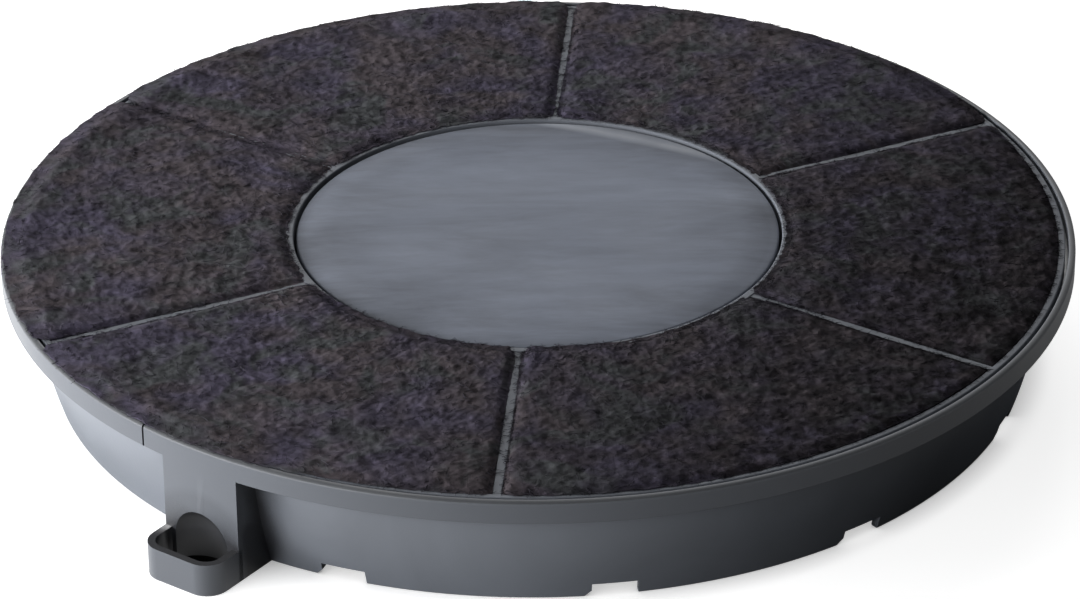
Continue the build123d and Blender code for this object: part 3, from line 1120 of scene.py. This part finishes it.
def model_fibre():
    """Points and faces of one fibre along +X, one unit long and one unit thick, with three sides."""
    let_go()
    bpy.ops.mesh.primitive_cylinder_add(vertices=3, radius=1, depth=1, rotation=(0, math.pi / 2, 0))
    piece = settle(named("fibre"))
    with all_selected(piece):
        for cut in (-0.22, 0.22):
            bpy.ops.mesh.select_all(action="SELECT")
            bpy.ops.mesh.bisect(plane_co=(cut, 0, 0), plane_no=(1, 0, 0))
        bpy.ops.mesh.select_all(action="SELECT")
        bpy.ops.mesh.quads_convert_to_tris()
    points = np.array([v.co for v in piece.data.vertices])
    faces = [tuple(p.vertices) for p in piece.data.polygons]
    bpy.data.objects.remove(piece, do_unlink=True)
    return points, faces


def scatter_fibres(pad, name, sizes, draw, roots):
    """Lays bent fibres on the pad and joins them to it."""
    points, faces = model_fibre()
    all_points, all_faces = [], []
    for root in roots:
        size = draw.uniform(1.0, 2.8) * MM
        turn = draw.uniform(0, math.tau)
        bend = draw.uniform(-1.0, 1.0) * size
        lift = draw.uniform(0.05, 0.32) * size
        thick = sizes.fibre_radius * draw.uniform(0.7, 1.3)
        taper = 1 - np.abs(points[:, 0]) * 0.8
        x = points[:, 0] * size
        y = points[:, 1] * thick * taper + bend * points[:, 0] ** 2
        z = points[:, 2] * thick * taper + lift * (0.25 - points[:, 0] ** 2) + thick
        placed_x = x * math.cos(turn) - y * math.sin(turn) + root[0]
        placed_y = x * math.sin(turn) + y * math.cos(turn) + root[1]
        start = len(all_points)
        all_points += list(zip(placed_x, placed_y, z + root[2]))
        all_faces += [tuple(start + k for k in face) for face in faces]
    mesh = bpy.data.meshes.new(name)
    mesh.from_pydata(all_points, [], all_faces)
    for material in pad.data.materials:
        mesh.materials.append(material)
    mesh.polygons.foreach_set("material_index", [1] * len(mesh.polygons))
    fibres = linked(name, mesh)
    pick(pad)
    fibres.select_set(True)
    bpy.ops.object.join()
    return pad


def fibre_roots(pad, sizes, draw):
    """Points where loose fibres lie: all over the pad's top, and thicker where its edge falls."""
    group = pad.vertex_groups["loose"].index
    top, rim = [], []
    for vertex in pad.data.vertices:
        weight = next((g.weight for g in vertex.groups if g.group == group), None)
        if vertex.co.z > SPOKE_TOP + 0.05 * MM and weight is not None:
            (rim if weight < 0.7 else top).append(tuple(vertex.co))
    return [draw.choice(top) for _ in range(sizes.fibres)] + [draw.choice(rim) for _ in range(sizes.edge_fibres)]


def felt_start(kit):
    """Radius where the felts begin, outside the inner ring."""
    return kit.cover.disc_radius + kit.cover.disc_gap + kit.cover.inner_width + kit.felt.clearance


class HOODFILTER_OT_front_felts(bpy.types.Operator):
    """Models the felt pads between the spokes, with their loose fibres"""

    bl_idname = "hood_filter.front_felts"
    bl_label = "Front felts"

    def execute(self, context):
        kit = settings()
        sizes = kit.felt
        outer = LIP_RADIUS - kit.housing.lip_wall - kit.cover.seam - kit.cover.ring_width - sizes.clearance
        offset = kit.cover.spoke_width / 2 + sizes.clearance
        felt = felt_finish()
        fibre = fibre_material(kit.finishes.felt)
        step = math.tau / SPOKE_COUNT
        for i in range(SPOKE_COUNT):
            name = f"front_felt_{i + 1}"
            low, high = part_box(name)[0][2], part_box(name)[1][2]
            start = FIRST_SPOKE + step * i
            draw = random.Random(40 + i)
            laps = (sizes.spoke_laps[i], sizes.spoke_laps[(i + 1) % SPOKE_COUNT])
            sides = (start, start + step, felt_start(kit), outer, offset, laps)
            pad = felt_sector(f"{name}_pad", sizes, *sides, draw, low, high)
            pad.data.materials.append(felt)
            pad.data.materials.append(fibre)
            roots = fibre_roots(pad, sizes, draw)
            pad = scatter_fibres(pad, f"{name}_fibres", sizes, draw, roots)
            shade(pad, 60)
            complete(pad, felt, "felt", name)
        return {"FINISHED"}


class HOODFILTER_OT_rear_felt(bpy.types.Operator):
    """Models the felt ring behind the carbon, which shows through the rear grille"""

    bl_idname = "hood_filter.rear_felt"
    bl_label = "Rear felt"

    def execute(self, context):
        kit = settings()
        low_corner, high_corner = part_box("rear_felt")
        inner, outer = felt_start(kit), high_corner[0]
        low, high = low_corner[2], high_corner[2]
        steps = 40
        outline = [(inner + (outer - inner) * i / steps, low) for i in range(steps + 1)]
        pad = lathe("rear_felt_pad", outline + [(outer, high), (inner, high)], 300)
        group = pad.vertex_groups.new(name="loose")
        edge = 0.5 * MM
        for vertex in pad.data.vertices:
            radius = math.hypot(vertex.co.x, vertex.co.y)
            free = vertex.co.z < low + 0.1 * MM and inner + edge < radius < outer - edge
            group.add((vertex.index,), 1.0 if free else 0.0, "REPLACE")
        raise_clumps(pad, "rear_felt_clumps", kit.felt.clump_size, 0.5 * MM, 0.0)
        shade(pad, 50)
        complete(pad, felt_finish(), "felt", "rear_felt")
        return {"FINISHED"}


# Inner pieces


class HOODFILTER_OT_inner_pieces(bpy.types.Operator):
    """Finishes the rear grille and the carbon beds, whose own meshes stay"""

    bl_idname = "hood_filter.inner_pieces"
    bl_label = "Grille and carbon"

    def execute(self, context):
        carbon = carbon_material(settings().finishes.carbon)
        for name, item in frame["nodes"].items():
            if name == "rear_grille" or name.startswith("carbon_bed"):
                item.data.materials.clear()
                item.data.materials.append(housing_plastic() if name == "rear_grille" else carbon)
        return {"FINISHED"}


# Stage

# Each light: the setting with its power, its size in metres, its heading from the camera's right and its
# elevation in degrees, and its distance in metres.
LIGHTS = {
    "back_light": ("back", (0.9, 0.6), 95, 35, 1.2),
    "left_light": ("left", (0.7, 0.25), 180, 12, 0.8),
    "front_left_light": ("front_left", (0.7, 0.35), -130, 20, 1.0),
    "low_light": ("low_left", (0.6, 0.12), -145, 4, 0.6),
}


def grey(value):
    return (value, value, value, 1)


def add_light(name, power, size, heading, elevation, distance):
    """Soft light that points at the middle of the lip's plane."""
    light = bpy.data.lights.new(name, "AREA")
    light.shape = "RECTANGLE"
    light.size, light.size_y = size
    light.energy = power
    lamp = linked(name, light)
    level = math.cos(elevation)
    away = Vector((math.cos(heading) * level, math.sin(heading) * level, math.sin(elevation)))
    lamp.location = away * distance + Vector((0, 0, TOTAL_HEIGHT))
    lamp.rotation_mode = "QUATERNION"
    lamp.rotation_quaternion = (-away).to_track_quat("-Z", "Y")


def seen_directly(tree):
    """1 for rays that show the surroundings themselves, and 1 for rays that show a reflection of them."""
    path = tree.nodes.new("ShaderNodeLightPath").outputs
    return path["Is Camera Ray"], maths(tree, "MAXIMUM", path["Is Glossy Ray"], path["Is Transmission Ray"])


def floor_material():
    """White floor. It glows for the camera, so that only the closest shadow of the object stays on it.

    Its reflection in the wall is bright on the lit side and dim on the other, and the spot under the
    finger loop and its scoop lies in deep shade.
    """
    material, tree, shader = new_material("pale_floor", 0.9, shine=0.0)
    camera, shiny = seen_directly(tree)
    place = object_place(tree)
    lit_side = spread(tree, part_of(tree, place, "X"), 60 * MM, -120 * MM)
    spot = (*loop_centre()[:2], 0.0)
    lit = spread(tree, vectors(tree, "DISTANCE", place, spot), 7.0 * MM, 8.2 * MM)
    shown = blend(tree, camera, blend(tree, lit_side, grey(0.12), grey(0.4)), grey(0.8))
    tree.links.new(blend(tree, lit, grey(0.02), shown), shader["Base Color"])
    shader["Emission Color"].default_value = grey(1)
    shade_near = node(tree, "ShaderNodeAmbientOcclusion", {"Distance": 12 * MM}, samples=16).outputs["AO"]
    glow = times(tree, spread(tree, shade_near, 0.1, 0.7, 0.15, 0.82), lit)
    away = vectors(tree, "LENGTH", place)
    near_wall = spread(tree, away, 109 * MM, 121 * MM, 0.03, 1.3)
    bright = times(tree, near_wall, spread(tree, away, 140 * MM, 165 * MM, 1.0, 0.45))
    dim = spread(tree, away, 118 * MM, 150 * MM, 0.0, 0.36)
    mirrored = node(tree, "ShaderNodeMix", {0: lit_side, 2: dim, 3: bright}).outputs[0]
    strength = maths(tree, "MULTIPLY_ADD", camera, glow, times(tree, mirrored, shiny))
    tree.links.new(strength, shader["Emission Strength"])
    return material


def make_world(sky):
    world = bpy.data.worlds.new("surroundings")
    bpy.context.scene.world = world
    world.use_nodes = True
    tree = world.node_tree
    shown = spread(tree, maths(tree, "MAXIMUM", *seen_directly(tree)), 0.0, 1.0, sky, 1.0)
    tree.nodes["Background"].inputs["Color"].default_value = grey(1)
    tree.links.new(shown, tree.nodes["Background"].inputs["Strength"])


def add_camera(kit):
    data = bpy.data.cameras.new("camera")
    data.lens = kit.lens
    data.sensor_width = 36
    data.sensor_fit = "HORIZONTAL"
    camera = linked("camera", data)
    level = kit.camera_distance * math.cos(kit.camera_elevation)
    place = Vector((0, -level, kit.camera_distance * math.sin(kit.camera_elevation)))
    turn = Matrix.Rotation(kit.camera_turn, 4, "Z")
    aimed = turn @ Matrix.Rotation(math.pi / 2 - kit.camera_elevation, 4, "X")
    aimed = aimed @ Matrix.Rotation(kit.camera_yaw, 4, "Y") @ Matrix.Rotation(kit.camera_pitch, 4, "X")
    aimed = aimed @ Matrix.Rotation(-kit.camera_roll, 4, "Z")
    camera.matrix_world = Matrix.Translation(Vector((0, 0, TOTAL_HEIGHT)) + turn @ place) @ aimed
    bpy.context.scene.camera = camera


class HOODFILTER_OT_stage(bpy.types.Operator):
    """Sets the floor, the lights and the camera"""

    bl_idname = "hood_filter.stage"
    bl_label = "Stage"

    def execute(self, context):
        kit = settings().stage
        let_go()
        bpy.ops.mesh.primitive_plane_add(size=8, location=(0, 0, HOUSING_LOW[2] - 0.02 * MM))
        floor = settle(named("floor"))
        floor.data.materials.append(floor_material())
        make_world(kit.sky)
        for name, (power, size, heading, elevation, distance) in LIGHTS.items():
            heading = kit.camera_turn + math.radians(heading)
            add_light(name, getattr(kit, power), size, heading, math.radians(elevation), distance)
        add_camera(kit)
        context.scene.view_settings.view_transform = "Standard"
        return {"FINISHED"}


# Panel and registration


class HoodFilterSettings(bpy.types.PropertyGroup):
    housing: bpy.props.PointerProperty(type=HousingSizes)
    cover: bpy.props.PointerProperty(type=FrameSizes)
    felt: bpy.props.PointerProperty(type=FeltSizes)
    finishes: bpy.props.PointerProperty(type=Finishes)
    stage: bpy.props.PointerProperty(type=StageSizes)


OPERATORS = (
    HOODFILTER_OT_stage,
    HOODFILTER_OT_housing,
    HOODFILTER_OT_cover_frame,
    HOODFILTER_OT_hub_cup,
    HOODFILTER_OT_front_felts,
    HOODFILTER_OT_rear_felt,
    HOODFILTER_OT_inner_pieces,
)


class VIEW3D_PT_hood_filter(bpy.types.Panel):
    bl_label = "Hood filter"
    bl_space_type = "VIEW_3D"
    bl_region_type = "UI"
    bl_category = "Hood filter"

    def draw(self, context):
        for operator in OPERATORS:
            self.layout.operator(operator.bl_idname)


GROUPS = (HousingSizes, FrameSizes, FeltSizes, Finishes, StageSizes, HoodFilterSettings)
CLASSES = GROUPS + OPERATORS + (VIEW3D_PT_hood_filter,)


def register():
    for item in CLASSES:
        bpy.utils.register_class(item)
    bpy.types.Scene.hood_filter = bpy.props.PointerProperty(type=HoodFilterSettings)


def unregister():
    del bpy.types.Scene.hood_filter
    for item in reversed(CLASSES):
        bpy.utils.unregister_class(item)


def main():
    register()
    for operator in OPERATORS:
        group, name = operator.bl_idname.split(".")
        getattr(getattr(bpy.ops, group), name)()


if __name__ == "__main__":
    main()
